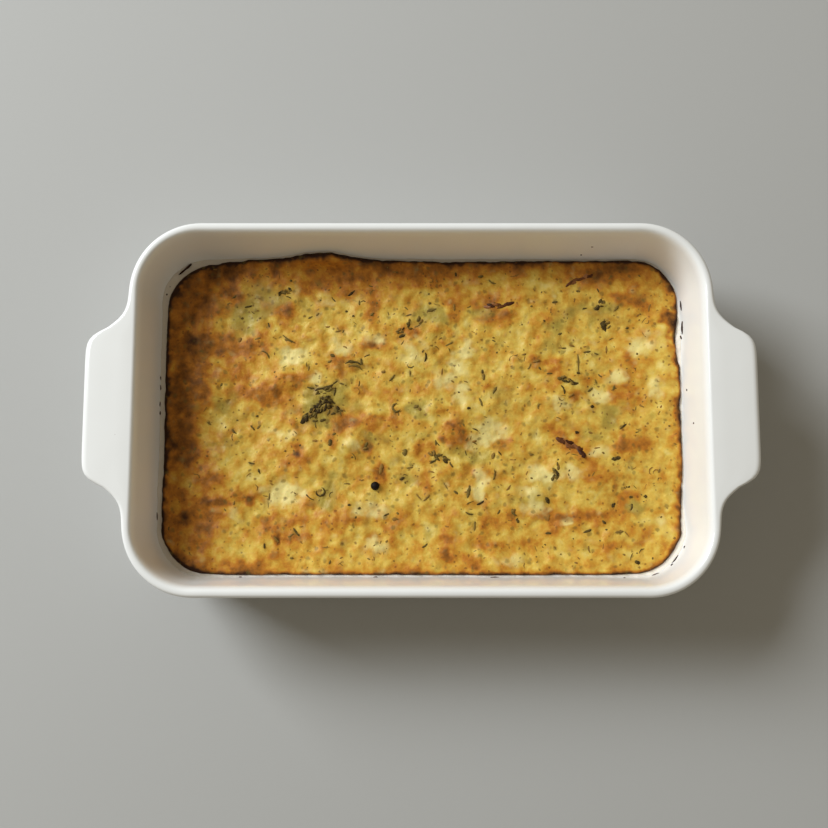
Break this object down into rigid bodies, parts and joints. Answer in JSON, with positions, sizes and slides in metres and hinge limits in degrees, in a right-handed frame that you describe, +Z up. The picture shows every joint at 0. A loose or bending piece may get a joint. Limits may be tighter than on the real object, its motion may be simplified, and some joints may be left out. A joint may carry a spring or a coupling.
{
  "type": "dish of onion souffle",
  "caption": "Baked onion souffle with a browned, herb-flecked top, in a white glazed stoneware oven dish with rounded corners and a lug handle at each end.",
  "frame": {"origin": "middle of the base, on the surface that the dish stands on", "axes": "+X along the length towards one handle, +Y across the width, +Z up out of the open top"},
  "size_m": [0.32, 0.179, 0.06],
  "materials": {
    "glazed_stoneware": "gloss",
    "baked_souffle": "satin"
  },
  "bodies": {
    "root": {"dish": "glazed_stoneware", "souffle": "baked_souffle"}
  },
  "joints": []
}
